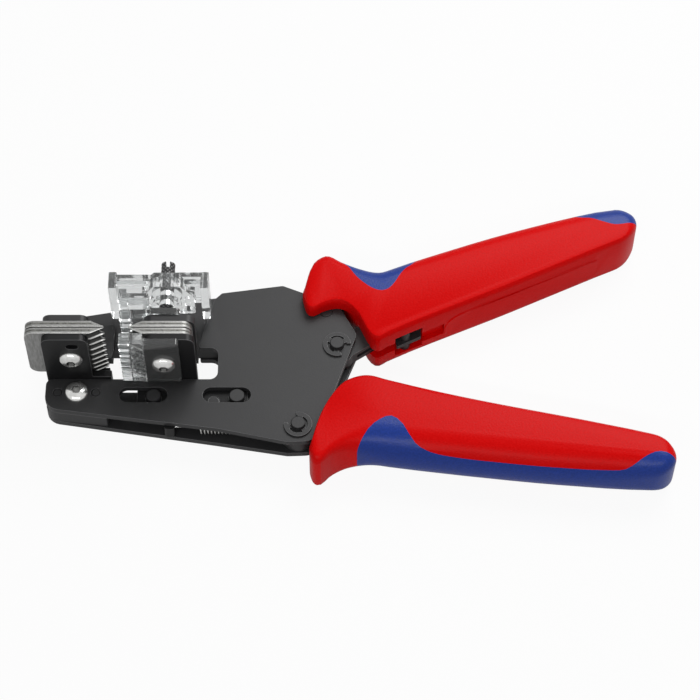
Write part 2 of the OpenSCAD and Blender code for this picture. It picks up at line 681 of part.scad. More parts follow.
module length_stop() {
    boss_d = rod_d + 5;
    block = [moving_screw_x - 7.4, moving_screw_x + 8.6];
    z1 = stop_z0 + stop_h;
    color(clear_plastic, 0.4) placed() difference() {
        union() {
            for (x = [stop_x0, stop_x0 + stop_w - stop_wall])
                wall(rounded([[x, stop_z0, 0.4], [x + stop_wall, stop_z0, 0.4], [x + stop_wall, z1, 0.4],
                    [x, z1, 0.4]], 3), stop_y, stop_depth);
            wall(rounded([[stop_x0 + 0.5, stop_z0 + 5, 0.5], [stop_x0 + stop_w - 0.5, stop_z0 + 5, 0.5],
                [stop_x0 + stop_w - 0.5, z1 - 0.2, 0.5], [moving_screw_x + 4, z1 - 0.2, 0],
                    [moving_screw_x - 4, z1 - 1.4, 0],
                [stop_x0 + 0.5, z1 - 1.4, 0.5]], 3), stop_y + stop_depth - 1.6, 1.6);
            for (z = [z1 - 3, z_axis - 3.2]) translate([stop_x0 + 0.5, stop_y + 2.4, z])
                cube([stop_w - 1, stop_depth - 2.4, 1.4]);
            wall(rounded([[block[0], z_axis - 6, 1], [block[1], z_axis - 6, 1], [block[1], z_axis + 3, 0.5],
                [moving_screw_x + 4.6, z1 + 0.2, 1], [moving_screw_x - 3.6, z1 + 0.2, 1],
                    [block[0], z_axis + 3, 0.5]]),
                stop_y + 0.3, stop_depth - 0.6);
            cross_hole(moving_screw_x, z_axis, boss_d, stop_y - 1.4, stop_depth + 2.8);
        }
        cross_hole(moving_screw_x, z_axis, rod_d + 2*pin_fit, stop_y - 5, stop_depth + 10);
        for (x = [block[0] + 1.4, block[1] - 3]) wall(rounded([[x, z_axis - 4.8, 0.4],
            [x + 1.6, z_axis - 4.8, 0.4],
            [x + 1.6, z_axis + 2.2, 0.4], [x, z_axis + 2.2, 0.4]], 3), stop_y - 1, 3.4);
    }
}

// Pivots
module pivot_pin(at) {
    head = 1.2;
    color(steel_black) placed() {
        hole(at, pivot_d, z_low - head, stack_h + head + 1.7);
        hole(at, 8, z_low - head, head);
    }
}

module pivot_pin_upper() {
    pivot_pin(pivot_a);
}

module pivot_pin_lower() {
    pivot_pin(pivot_b);
}

// Retaining clip: an open ring with three lobes that bear on the pin
module clip(at, turn) {
    translate([at[0], at[1], z_top]) rotate(turn) difference() {
        cylinder(d = clip_d, h = clip_t);
        difference() {
            translate([0, 0, -1]) cylinder(d = clip_d - 2.6, h = clip_t + 2);
            for (a = [60, 180, 300]) rotate(a) translate([0, -0.8, -1]) cube([clip_d/2 - 1, 1.6,
                clip_t + 2]);
        }
        translate([0, 0, -1]) cylinder(d = pivot_d + 2*seat_fit, h = clip_t + 2);
        sheet([[0, 0], [clip_d, -clip_d*tan(36)], [clip_d, clip_d*tan(36)]], -1, clip_t + 2);
    }
}

module pivot_clips() {
    color(steel_black) placed() {
        clip(pivot_a, -33);
        clip(pivot_b, 135);
    }
}

module arm_pivot_pin() {
    color(steel_black) placed() hole(arm_pivot, pivot_d, z_low, stack_h);
}

// Handles: sections across X, flat inside and round on the palm side, lofted along the tool
lower_end = pivot_b[0] + lower_reach;
upper_end = pivot_a[0] + upper_reach;
lower_nose = -12.2;
upper_nose = -14.7;
nose_r = 2.2;
tail_r = 3.8;
tail_l = 6.6;
lower_in = [[lower_nose, -36], [-11.4, -33.4], [-9.6, -26.9], [-7.5, -21.6], [-4.5, -16.5],
    [-1.5, -13.2], [3, -11.3],
    [6.5, -11.2], [11, -12.6], [27, -17], [45, -21.3], [69, -26.5], [87, -30.7], [lower_end, -33.6]];
lower_palm = [[lower_nose, -37.6], [-11.5, -40.3], [-10, -41.5], [-8.5, -41.1], [-6, -38.5],
    [-3, -36.8], [0, -36.1],
    [5, -36.2], [15, -37.8], [45, -41.6], [69, -44], [84, -44.6], [lower_end, -44.2]];
upper_in = [[upper_nose, 17.6], [-13.5, 13.4], [-11.5, 12.1], [-8, 14], [-3.5, 14.9], [0, 13.3],
    [3.1, 9.3], [5, 4.9],
    [6.8, 2.2], [8.8, 1.3], [12, 3.2], [22, 8.1], [47.5, 19.7], [80, 35.3], [upper_end, 40.2]];
upper_palm = [[upper_nose, 19.4], [-13.7, 23], [-12.5, 27.6], [-11, 30.8], [-8, 33], [-6, 32.9],
    [-3, 31.2], [3, 29],
    [9.2, 27.8], [14, 29.5], [22, 32.7], [47.5, 41.9], [73, 49.6], [83, 51.7], [upper_end, 52.1]];

function ease(t) = let (c = min(1, max(0, t))) c*c*(3 - 2*c);
function arc_drop(d, r) = d >= r ? 0 : 1 - sqrt(1 - (1 - d/r)^2);
function arc_pts(c, ry, rz, a0, n) = [for (k = [0:n]) c + [ry*cos(a0 + 90*k/n), rz*sin(a0 + 90*k/n)]];

// Section at x as [y, z] points, running round from the inner edge to the palm and back
function section(in_edge, palm_edge, palm_r, nose, end, x) =
    let (shut = arc_drop(end - x, tail_l), drop = max(arc_drop(x - nose, nose_r)*nose_r,
        arc_drop(end - x, tail_r)*tail_r),
         yi = curve(in_edge, x), yp = curve(palm_edge, x), ym = (yi + yp)/2,
         y0 = yi + (ym - yi)*shut, w = abs(yp - yi)*(1 - shut), way = sign(yp - yi),
         rp = min(3 + (palm_r - 3)*ease((x - nose - 6)/16), 0.45*w + 0.2), re = min(edge_r, 0.3*w),
         z0 = drop - 0.3, z1 = handle_h - drop,
         rz = min(rp, (z1 - z0)/2 - 0.4),
         ring = concat(arc_pts([w - rp, z0 + rz], rp, rz, -90, 6), arc_pts([w - rp, z1 - rz], rp, rz, 0, 6),
             arc_pts([re, z1 - re], re, re, 90, 3), arc_pts([re, z0 + re], re, re, 180, 3)))
    [for (q = ring) [x, y0 + way*q[0], q[1]]];

module loft(rings, flip) {
    n = len(rings[0]);
    m = len(rings);
    sides = [for (k = [0:m - 2], j = [0:n - 1]) let (a = k*n + j, b = k*n + (j + 1) % n)
        each [[a, a + n, b + n], [a, b + n, b]]];
    caps = [[for (j = [0:n - 1]) j], [for (j = [n - 1:-1:0]) (m - 1)*n + j]];
    faces = concat(sides, caps);
    polyhedron([for (r = rings) each r], flip ? [for (f = faces) [for (j = [len(f) - 1:-1:0]) f[j]]] : faces);
}

function stations(nose, end) = concat([for (k = [0:6]) nose + nose_r*(1 - cos(15*k))],
    [for (x = [nose + nose_r + 1.2:1.2:12.4]) x], [for (k = [1:11]) 12.4 + (end - tail_l - 12.4)*k/11],
    [for (k = [1:9]) end - tail_l*(1 - sin(10*k)) - 0.03]);

// Solid of a handle with its underside cut flat
module handle_form(in_edge, palm_edge, palm_r, nose, end, flip) {
    difference() {
        loft([for (x = stations(nose, end)) section(in_edge, palm_edge, palm_r, nose, end, x)], flip);
        translate([-150, -100, -10]) cube([300, 200, 10]);
    }
}

module lower_form() {
    handle_form(lower_in, lower_palm, lower_palm_r, lower_nose, lower_end, true);
}

module upper_form() {
    handle_form(upper_in, upper_palm, upper_palm_r, upper_nose, upper_end, false);
}

// Lever of the lower handle: boss on the pivot, drive arm up to the carriage and tang into the grip
lower_tang = rounded([[pivot_b[0], pivot_b[1], 0], [-15, -29.6, 0], [4, -29.2, 4], [60, -38, 2],
    [60.8, -32.4, 2],
    [12, -20.2, 6], [-10.5, -22.6, 3], [-14, -22.8, 0]]);

module lower_lever() {
    z0 = z_core + run_gap;
    color(steel_black) placed() difference() {
        union() {
            hole(pivot_b, 2*lever_boss_r, z0, part_h);
            hole(drive_tip, 2*drive_tip_r, z0, part_h);
            sheet(bar(pivot_b, drive_tip, drive_neck), z0, part_h);
            sheet(lower_tang, z0, part_h);
        }
        hole(pivot_b, pivot_d + 2*pin_fit, z0 - 1, part_h + 2);
    }
}

// Room for the plates inside the nose of the lower grip, over the whole turn
module lower_relief() {
    room = stack_h + 2*free_gap;
    translate([0, 0, z_low - free_gap]) {
        translate([pivot_b[0], pivot_b[1], 0]) cylinder(r = plate_corner_r + 1, h = room);
        translate([pivot_b[0], pivot_b[1], 0]) rotate(plate_edge_angle - lower_turn)
            translate([-40, -plate_corner_r - 1, 0]) cube([90, 70, room]);
    }
}

module lower_pocket() {
    z0 = z_core + run_gap;
    translate([0, 0, z0 - seat_fit]) linear_extrude(part_h + 2*seat_fit) polygon(lower_tang);
}

lower_seam = [[2, -36.2], [2.5, -35.4], [3.3, -33.9], [5.5, -30.5], [8, -28], [11.6, -26.1],
    [14, -26.9], [16.3, -29.6],
    [18.7, -34], [22.3, -36.5], [29.8, -38.3], [45.8, -40.4], [62, -42.05], [lower_end - 18.6, -43.2],
    [lower_end - 14.4, -42.8], [lower_end - 9.1, -39.7], [lower_end - 6.3, -38.5], [lower_end - 3.6, -38.6],
    [lower_end + 2, -41.2]];

module seam_region(seam, far_y) {
    x0 = seam[0][0];
    x1 = seam[len(seam) - 1][0];
    edge = [for (k = [0:56]) let (x = x0 + (x1 - x0)*k/56) [x, curve(seam, x)]];
    translate([0, 0, -5]) linear_extrude(handle_h + 10) polygon(concat(edge, [[x1, far_y], [x0, far_y]]));
}

module lower_grip() {
    color(grip_red) placed() difference() {
        lower_form();
        lower_relief();
        lower_pocket();
        seam_region(lower_seam, -60);
    }
}

module lower_grip_inlay() {
    color(grip_blue) placed() difference() {
        intersection() {
            lower_form();
            seam_region(lower_seam, -60);
        }
        lower_pocket();
    }
}

// Lever of the upper handle: boss on the pivot, drive arm to the strip arm and tang into the grip. Its
// front edge is grooved, and where the window of the grip bares it, it is thinned to a shelf that the pin
// stands on
window_x = [14, 22.5];
recess_x1 = 29.4;
shelf_t = 1.5;
handle_pin_at = [17, 8.1];
pin_l = 12.4;
upper_tang = rounded([[pivot_a[0], pivot_a[1], 0], [-1.5, -2.4, 0], [0.7, -0.6, 0.6], [8.6, 4.7, 2],
    [window_x[0] + 0.4, 7.6, 1],
    [window_x[0] + 0.4, 4.4, 0.4], [window_x[1] - 0.4, 8.35, 0.4], [window_x[1] - 0.4, 12.4, 1],
        [24, 14.4, 2],
    [60, 31.4, 2], [58, 37.6, 2], [20, 24, 8], [3, 10.2, 4], [-3, 6.2, 0]]);

module upper_lever() {
    z0 = z_core + run_gap;
    z1 = z0 + part_h;
    color(steel_black) placed() difference() {
        union() {
            hole(pivot_a, 2*lever_boss_r, z0, part_h);
            hole(arm_tip, 2*drive_tip_r, z0, part_h);
            sheet(bar(pivot_a, arm_tip, drive_neck), z0, part_h);
            sheet(upper_tang, z0, part_h);
        }
        hole(pivot_a, pivot_d + 2*pin_fit, z0 - 1, part_h + 2);
        hole(handle_pin_at, handle_pin_d + 2*seat_fit, z0 - 1, part_h + 2);
        sheet([[1.8, -3], [16, 6.2], [16, 9.2], [2.4, 2.4]], z0 + shelf_t, part_h - 2*shelf_t);
        sheet([[window_x[0] - 1, 2], [window_x[1] + 1, 2], [window_x[1] + 1, 11.6],
            [window_x[0] - 1, 11.6]], z0 + shelf_t, z1);
    }
}

// Room for the plates inside the nose of the upper grip
module upper_relief() {
    sheet([[-40, -10], [3.3, -10], [3.3, 8], [-3.6, 20.6], [-12, 21.2], [-16, 24],
        [-40, 24]], z_low - free_gap,
        stack_h + 2*free_gap);
}

module upper_pocket() {
    z0 = z_core + run_gap;
    sheet(upper_tang, z0 - seat_fit, part_h + 2*seat_fit);
    hole(handle_pin_at, handle_pin_d + 2*seat_fit, z_mid - pin_l/2, pin_l);
}

// Window in the inner side of the upper grip, with a shallower recess on one side of it and, towards the nose,
// a slot between the cheeks that bares the edge of the lever
module upper_window() {
    sheet([[2.5, -12], [window_x[0] + 0.5, -12], [window_x[0] + 0.5, 9], [2.5, 4]], z_core + 0.25,
        part_h - 0.8);
    sheet([[window_x[0], -2], [window_x[1], -2], [window_x[1], 11.6],
        [window_x[0], 11.6]], z_low - 1.1, 9.8);
    sheet([[window_x[1] - 1, -2], [recess_x1, -2], [recess_x1, 13],
        [window_x[1] - 1, 9.6]], z_low + 0.6, 5.4);
}

// Shallow panel sunk into the inner side of the upper grip
panel_x = [29.6, 78];
panel_z = [3.2, handle_h - 3.5];
panel_deep = 0.5;

module upper_panel() {
    inner = [for (k = [0:8]) let (x = panel_x[0] + (panel_x[1] - panel_x[0])*k/8) [x, curve(upper_in,
        x) + panel_deep]];
    intersection() {
        sheet(concat(inner, [[panel_x[1], 0], [panel_x[0], 0]]), 0, handle_h);
        wall(rounded([[panel_x[0], panel_z[0], 1], [panel_x[1], panel_z[0], 1], [panel_x[1], panel_z[1], 1],
            [panel_x[0], panel_z[1], 6]]), 0, 60);
    }
}

upper_saddle = [[-5, 31.8], [-1, 28.7], [1.7, 24.6], [4.5, 21.7], [7.3, 19.7], [9.8, 19], [12, 19.75],
    [13.8, 21.8],
    [15.7, 25.1], [17.6, 27.6], [19.6, 29.4], [22, 34]];
upper_cap = [[upper_end - 21.8, 50], [upper_end - 18.6, 47.2], [upper_end - 14.6, 46.4],
    [upper_end - 11.4, 45.2],
    [upper_end - 7.6, 44], [upper_end - 5, 44.1], [upper_end - 2.6, 44.6], [upper_end + 1, 45.4]];

module upper_grip() {
    color(grip_red) placed() difference() {
        upper_form();
        upper_relief();
        upper_pocket();
        upper_window();
        upper_panel();
        seam_region(upper_saddle, 70);
        seam_region(upper_cap, 70);
    }
}

module upper_saddle_inlay() {
    color(grip_blue) placed() difference() {
        intersection() {
            upper_form();
            seam_region(upper_saddle, 70);
        }
        upper_relief();
    }
}

module upper_end_inlay() {
    color(grip_blue) placed() intersection() {
        upper_form();
        seam_region(upper_cap, 70);
    }
}

module upper_handle_pin() {
    color(steel_black) placed() hole(handle_pin_at, handle_pin_d, z_mid - pin_l/2, pin_l);
}

// Coil spring along +X from x = 0 to x = l, after a straight lead of wire that bends into the first curl
module coil(l, curls, lead) {
    steps = 8*curls;
    bend = lead > 0 ? 6 : 0;
    r = (spring_d - spring_wire)/2;
    sides = 6;
    pitch = (l - spring_wire)/curls;
    function turn(k) = 90 + 45*(k < 0 ? 0 : k < bend ? k*k/2/bend : k - bend/2);
    function path(k) = let (a = turn(k))
        [k < 0 ? -lead : spring_wire/2 + (l - spring_wire)*k/steps, r*cos(a), r*sin(a)];
    first = lead > 0 ? -1 : 0;
    pts = [for (k = [first:steps], j = [0:sides - 1])
        let (ahead = unit(path(min(k + 1, steps)) - path(max(k - 1, first))), b = 360*j/sides,
             a = turn(k), out = [0, cos(a), sin(a)], side = cross(ahead, out))
        path(k) + spring_wire/2*(cos(b)*out + sin(b)*unit(side))];
    rows = steps - first;
    sides_f = [for (k = [0:rows - 1], j = [0:sides - 1])
        let (a = k*sides + j, b = k*sides + (j + 1) % sides)
        each [[a, b + sides, b], [a, a + sides, b + sides]]];
    caps = [[for (j = [0:sides - 1]) j], [for (j = [sides - 1:-1:0]) rows*sides + j]];
    gaps = [for (k = [bend + 8:steps]) norm(path(k) - path(k - 8)) - spring_wire];
    echo(spring_gap = min(gaps));
    polyhedron(pts, concat(sides_f, caps));
}

module carriage_spring() {
    x1 = spring_post_at[0] - post_d/2;
    x0 = spring_lug[1] + 7;
    color(steel_bright) placed() translate([x0, spring_y, z_mid]) coil(x1 - x0, carriage_curls, 7);
}

module spring_post() {
    color(steel_black) placed() hole(spring_post_at, post_d, z_low, plate_t + core_h - run_gap);
}

module arm_spring() {
    y0 = arm_window[2];
    color(steel_bright) placed() translate([arm_post_at[0], y0, z_mid]) rotate(90)
        coil(arm_post_at[1] - post_d/2 - y0, arm_curls, 0);
}

module arm_spring_post() {
    color(steel_black) placed() hole(arm_post_at, post_d, z_low, plate_t + core_h - run_gap);
}

top_plate();
bottom_plate();
front_spacer();
fixed_bracket_front();
fixed_blade_front();
fixed_screw_front();
foot_screw_front();
foot_dowels_front();
strip_arm();
fixed_bracket_rear();
fixed_blade_rear();
fixed_screw_rear();
foot_screw_rear();
foot_dowels_rear();
front_carriage();
moving_bracket_front();
moving_blade_front();
moving_screw_front();
slide_pins_front();
carriage_rivet();
carriage_drive_pin();
moving_bracket_rear();
moving_blade_rear();
slide_pins_rear();
wire_guide_front();
wire_guide_rear();
stop_rod();
length_stop();
pivot_pin_upper();
pivot_pin_lower();
pivot_clips();
arm_pivot_pin();
upper_lever();
upper_grip();
upper_saddle_inlay();
upper_end_inlay();
upper_handle_pin();
lower_lever();
lower_grip();
lower_grip_inlay();
carriage_spring();
spring_post();
arm_spring();
arm_spring_post();
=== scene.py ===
import json
import math

import bpy
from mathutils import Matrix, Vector

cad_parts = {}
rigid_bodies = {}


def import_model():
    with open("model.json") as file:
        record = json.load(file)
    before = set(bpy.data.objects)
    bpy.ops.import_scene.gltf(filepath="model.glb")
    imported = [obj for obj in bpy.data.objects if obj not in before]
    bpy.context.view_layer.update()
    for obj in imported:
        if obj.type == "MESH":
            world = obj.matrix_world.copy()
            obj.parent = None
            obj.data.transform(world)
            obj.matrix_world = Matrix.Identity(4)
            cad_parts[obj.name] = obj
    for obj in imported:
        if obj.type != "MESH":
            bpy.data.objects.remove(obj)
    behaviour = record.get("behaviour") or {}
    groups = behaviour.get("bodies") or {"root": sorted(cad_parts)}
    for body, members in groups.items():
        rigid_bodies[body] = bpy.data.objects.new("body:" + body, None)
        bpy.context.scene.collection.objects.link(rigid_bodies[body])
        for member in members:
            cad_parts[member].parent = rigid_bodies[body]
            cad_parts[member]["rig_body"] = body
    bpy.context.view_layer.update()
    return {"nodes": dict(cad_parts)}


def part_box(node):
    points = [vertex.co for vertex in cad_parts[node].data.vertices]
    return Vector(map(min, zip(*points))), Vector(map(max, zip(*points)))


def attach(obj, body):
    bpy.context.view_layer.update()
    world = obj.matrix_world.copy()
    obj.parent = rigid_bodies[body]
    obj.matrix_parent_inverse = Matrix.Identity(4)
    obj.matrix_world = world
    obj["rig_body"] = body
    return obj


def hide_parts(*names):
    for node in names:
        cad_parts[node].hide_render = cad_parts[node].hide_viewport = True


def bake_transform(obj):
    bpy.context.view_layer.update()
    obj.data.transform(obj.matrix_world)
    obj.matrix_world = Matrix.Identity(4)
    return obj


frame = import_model()

# Camera
# The tool is seen from in front and 58 degrees above the bench, from about 0.74 m, with a long lens.
# The view is aimed at the middle of the tool, level with the top of its plates.
MM = 0.001
AIM = Vector((0.015, -3.628, 12.75)) * MM
ELEVATION = math.radians(58)
DISTANCE = 0.739
SENSOR_WIDTH = 36
FOCAL_PIXELS, PICTURE_PIXELS = 2400, 700
scene = bpy.context.scene
camera_data = bpy.data.cameras.new("camera")
camera_data.sensor_width = SENSOR_WIDTH
camera_data.lens = FOCAL_PIXELS / PICTURE_PIXELS * SENSOR_WIDTH
camera = bpy.data.objects.new("camera", camera_data)
camera.location = AIM + DISTANCE * Vector((0, -math.cos(ELEVATION), math.sin(ELEVATION)))
camera.rotation_euler = (math.pi / 2 - ELEVATION, 0, 0)
scene.collection.objects.link(camera)
scene.camera = camera


# Bench and studio light
# A white bench under a soft box behind the tool, so that flat tops are brightest, with a strip light in front
# that draws a highlight along the handles. Bench and room show white, and the bench keeps a faint shadow.
ROOM_LIGHT = 0.26
BENCH_SEEN, BENCH_MIRRORED = 0.93, 0.4
BENCH_WIDTH, BENCH_DROP = 6, 0.05 * MM
WHITE = (1, 1, 1, 1)
scene.view_settings.view_transform = "Standard"


def linear(colour):
    """An sRGB hex colour as linear red, green, blue and alpha."""
    channels = [int(colour[i:i + 2], 16) / 255 for i in (1, 3, 5)]
    return [c / 12.92 if c <= 0.04045 else ((c + 0.055) / 1.055) ** 2.4 for c in channels] + [1]


def add(tree, kind, links=(), **settings):
    """One node with its settings, and its inputs set to values or linked to other nodes' outputs."""
    node = tree.nodes.new(kind)
    for name, value in settings.items():
        setattr(node, name, value)
    for socket, value in dict(links).items():
        if isinstance(value, bpy.types.NodeSocket):
            tree.links.new(value, node.inputs[socket])
        else:
            node.inputs[socket].default_value = value
    return node


def new_material(name):
    """A material with an empty node tree, and the tree."""
    material = bpy.data.materials.new(name)
    material.use_nodes = True
    material.node_tree.nodes.clear()
    return material, material.node_tree


def seen_directly(tree, direct, mirrored):
    """The share of plain white in what a ray meets: direct or through clear plastic, or mirrored."""
    path = add(tree, "ShaderNodeLightPath").outputs
    straight = add(tree, "ShaderNodeMath", {0: path["Is Camera Ray"], 1: path["Is Transmission Ray"]},
                   operation="MAXIMUM")
    clear = add(tree, "ShaderNodeMath", {0: straight.outputs[0], 1: direct}, operation="MULTIPLY")
    glossy = add(tree, "ShaderNodeMath", {0: path["Is Glossy Ray"], 1: mirrored}, operation="MULTIPLY")
    share = add(tree, "ShaderNodeMath", {0: glossy.outputs[0], 1: clear.outputs[0]}, operation="MAXIMUM")
    return share.outputs[0]


bench_paint, tree = new_material("white_bench_laminate")
lit = add(tree, "ShaderNodeBsdfDiffuse", {"Color": linear("#D8D8D8")})
glow = add(tree, "ShaderNodeEmission", {"Color": WHITE, "Strength": 1.0})
share = seen_directly(tree, BENCH_SEEN, BENCH_MIRRORED)
both = add(tree, "ShaderNodeMixShader", {0: share, 1: lit.outputs[0], 2: glow.outputs[0]})
add(tree, "ShaderNodeOutputMaterial", {0: both.outputs[0]})

bpy.ops.object.select_all(action="DESELECT")
bpy.ops.mesh.primitive_plane_add(size=BENCH_WIDTH, location=(0, 0, -BENCH_DROP))
bpy.ops.object.transform_apply(location=True, rotation=True, scale=True)
bench = bpy.context.object
bench.name = "bench"
bench.data.materials.append(bench_paint)

world = bpy.data.worlds.new("studio")
scene.world = world
world.use_nodes = True
tree = world.node_tree
tree.nodes.clear()
room = add(tree, "ShaderNodeBackground", {"Color": WHITE, "Strength": ROOM_LIGHT})
white = add(tree, "ShaderNodeBackground", {"Color": WHITE, "Strength": 1.0})
share = seen_directly(tree, 1, 1)
both = add(tree, "ShaderNodeMixShader", {0: share, 1: room.outputs[0], 2: white.outputs[0]})
add(tree, "ShaderNodeOutputWorld", {0: both.outputs[0]})


def area_lamp(name, place, size, watts):
    """A rectangular lamp, in metres, turned to the tool."""
    light = bpy.data.lights.new(name, "AREA")
    light.shape = "RECTANGLE"
    light.size, light.size_y = size
    light.energy = watts
    lamp = bpy.data.objects.new(name, light)
    lamp.location = place
    lamp.rotation_euler = (AIM - Vector(place)).to_track_quat("-Z", "Y").to_euler()
    scene.collection.objects.link(lamp)


area_lamp("soft_box_back", (0.25, 0.4, 0.6), (0.5, 0.4), 4.5)
area_lamp("strip_light_front", (-0.1, -0.66, 0.68), (0.9, 0.06), 3.4)


# Body plates
# Two punched sheet steel plates hold the tool together, with a spacer block at the front end and pins through
# them. They are burnished black: dark, with a satin sheen, and lighter along the edges, partly where tumbling
# rubs them and partly as a painted highlight.
nodes = frame["nodes"]
CLOUD, GRIT = 14 * MM, 0.45 * MM
GRIT_RELIEF, GRIT_DEPTH = 0.4, 0.04 * MM


def grained(tree, tint, grain, colour, roughness, relief, depth, sockets):
    """Shader between two tones and two roughnesses, dented by its grain, with its other sockets as given."""
    tone = add(tree, "ShaderNodeMix", {"Factor": tint, "A": linear(colour[0]), "B": linear(colour[1])},
               data_type="RGBA")
    sheen = add(tree, "ShaderNodeMapRange", {"Value": grain, "To Min": roughness[0], "To Max": roughness[1]})
    dents = add(tree, "ShaderNodeBump", {"Height": grain, "Strength": relief, "Distance": depth})
    shader = add(tree, "ShaderNodeBsdfPrincipled", {
        "Base Color": tone.outputs["Result"], "Roughness": sheen.outputs["Result"],
        "Normal": dents.outputs["Normal"], **sockets})
    add(tree, "ShaderNodeOutputMaterial", {0: shader.outputs[0]})


def burnished(name, colour, roughness, gloss):
    """Burnished steel, cloudy between two tones. Its fine grit is drawn coarser, so that it shows."""
    material, tree = new_material(name)
    place = add(tree, "ShaderNodeTexCoord").outputs["Object"]
    cloud = add(tree, "ShaderNodeTexNoise", {"Vector": place, "Scale": 1 / CLOUD, "Detail": 3})
    grit = add(tree, "ShaderNodeTexNoise", {"Vector": place, "Scale": 1 / GRIT, "Detail": 2})
    grained(tree, cloud.outputs["Fac"], grit.outputs["Fac"], colour, roughness, GRIT_RELIEF, GRIT_DEPTH,
            {"Specular IOR Level": gloss})
    return material


burnished_steel = burnished("burnished_black_steel", ("#212122", "#29292A"), (0.4, 0.52), 0.32)
# A lighter edge finish: partly rubbed steel, partly a painted highlight.
edge_rub_and_highlight = burnished("burnished_steel_edge_rub_and_highlight", ("#404041", "#626263"), (0.28, 0.42), 0.5)
FLAT = math.radians(0.5)
SHARP = math.radians(30)
WELD = 0.002 * MM
FACES, EDGES = range(2)


def copied(name):
    """Clean copy of a CAD node: one closed mesh whose flat faces are whole again."""
    bpy.ops.object.select_all(action="DESELECT")
    piece = bpy.data.objects.new(name + "_finished", nodes[name].data.copy())
    scene.collection.objects.link(piece)
    bpy.context.view_layer.objects.active = piece
    piece.select_set(True)
    bpy.ops.object.mode_set(mode="EDIT")
    bpy.ops.mesh.select_all(action="SELECT")
    bpy.ops.mesh.customdata_custom_splitnormals_clear()
    bpy.ops.mesh.remove_doubles(threshold=WELD)
    bpy.ops.mesh.dissolve_limited(angle_limit=FLAT)
    bpy.ops.object.mode_set(mode="OBJECT")
    piece.data.materials.clear()
    return piece


def stand_in(piece, name):
    """The piece, smooth between its sharp edges, rides on the node's body and stands for the node."""
    bpy.ops.object.shade_smooth_by_angle(angle=SHARP)
    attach(piece, nodes[name]["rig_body"])
    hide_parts(name)


def edged(name, edge_mm, material, edge=None, tight=True):
    """Copy of a CAD node with its sharp edges broken, where tight only as far as the faces beside allow."""
    piece = copied(name)
    piece.data.materials.append(material)
    bevel = piece.modifiers.new("broken_edges", "BEVEL")
    bevel.width = edge_mm * MM
    bevel.segments = 2
    bevel.limit_method = "ANGLE"
    bevel.angle_limit = SHARP
    bevel.use_clamp_overlap = tight
    if edge:
        piece.data.materials.append(edge)
        bevel.material = EDGES
    bpy.ops.object.modifier_apply(modifier="broken_edges")
    stand_in(piece, name)
    piece.modifiers.new("flat_faces", "WEIGHTED_NORMAL").keep_sharp = True
    bpy.ops.object.modifier_apply(modifier="flat_faces")
    return piece


for name in ("top_plate", "bottom_plate", "front_spacer"):
    edged(name, 0.2, burnished_steel, edge_rub_and_highlight)

# Strip arm and carriages
# The strip arm turns on its pin between the plates, and the front carriage slides on pins in the guide slots.
# Upright brackets on the body, the arm and the carriage hold the blades. The carriage and the front brackets
# take a darker, less glossy copy of the burnished steel, painted shade for where they lie low or face the
# front.
# Tumbled edges show a light line, partly rubbed and partly a painted highlight.
# A darker, less glossy copy of the burnished steel: painted shade.
shade_painted_steel = burnished("burnished_steel_painted_shade", ("#0F0F10", "#161617"), (0.34, 0.46), 0.18)
for name in ("strip_arm", "fixed_bracket_rear", "moving_bracket_rear"):
    edged(name, 0.2, burnished_steel, edge_rub_and_highlight)
for name in ("front_carriage", "fixed_bracket_front", "moving_bracket_front"):
    edged(name, 0.25, shade_painted_steel, edge_rub_and_highlight)

# Levers and pins
# Levers cut from thick plate, turned pins, dowels and a rivet, and two retaining clips of spring steel, all
# burnished, and two spring posts in the darker copy, painted shade. The pivot pins stand proud of the plates,
# the pins' broken edges are painted as a dark ring of shade, and the rivet's edge is rubbed light and carries
# a painted highlight.
for name in ("upper_lever", "lower_lever", "pivot_clips"):
    edged(name, 0.12, burnished_steel, edge_rub_and_highlight)
for name in ("pivot_pin_upper", "pivot_pin_lower", "arm_pivot_pin", "slide_pins_front", "slide_pins_rear",
             "carriage_drive_pin", "foot_dowels_front", "foot_dowels_rear", "upper_handle_pin"):
    # The pins' broken edges take the painted shade, as a dark ring round each pin.
    edged(name, 0.3, burnished_steel, shade_painted_steel, False)
edged("carriage_rivet", 0.2, burnished_steel, edge_rub_and_highlight, False)
for name in ("spring_post", "arm_spring_post"):
    edged(name, 0.2, shade_painted_steel)


# Form blades
# Hardened tool steel in two pairs back to back, ground on the flat faces and sheared along the outline, where
# a torn band runs between smooth rims. Grooves in the bevelled edges fit a wire. The grooves' faces are
# painted dark as shade. Those that face up or lie level, like the bevelled corners between rim and sides, are
# painted light as highlight.
MARK_DEPTH = 0.05 * MM
METALLIC = 0.85
# The middle of the noise, spread over the whole range from one tone to the other.
TONE_FROM, TONE_TO = 0.35, 0.65


def bare_steel(name, colour, roughness, grain_mm, relief, along=(1, 1, 1)):
    """Bare metal with a grain coarser than the real marks, so that it shows, drawn out as along says."""
    material, tree = new_material(name)
    place = add(tree, "ShaderNodeTexCoord").outputs["Object"]
    drawn = add(tree, "ShaderNodeMapping", {"Vector": place, "Scale": along})
    grain = add(tree, "ShaderNodeTexNoise", {"Vector": drawn.outputs[0], "Scale": 1 / (grain_mm * MM),
                                             "Detail": 3}).outputs["Fac"]
    tint = add(tree, "ShaderNodeMapRange", {"Value": grain, "From Min": TONE_FROM, "From Max": TONE_TO})
    grained(tree, tint.outputs["Result"], grain, colour, roughness, relief, MARK_DEPTH,
            {"Metallic": METALLIC})
    return material


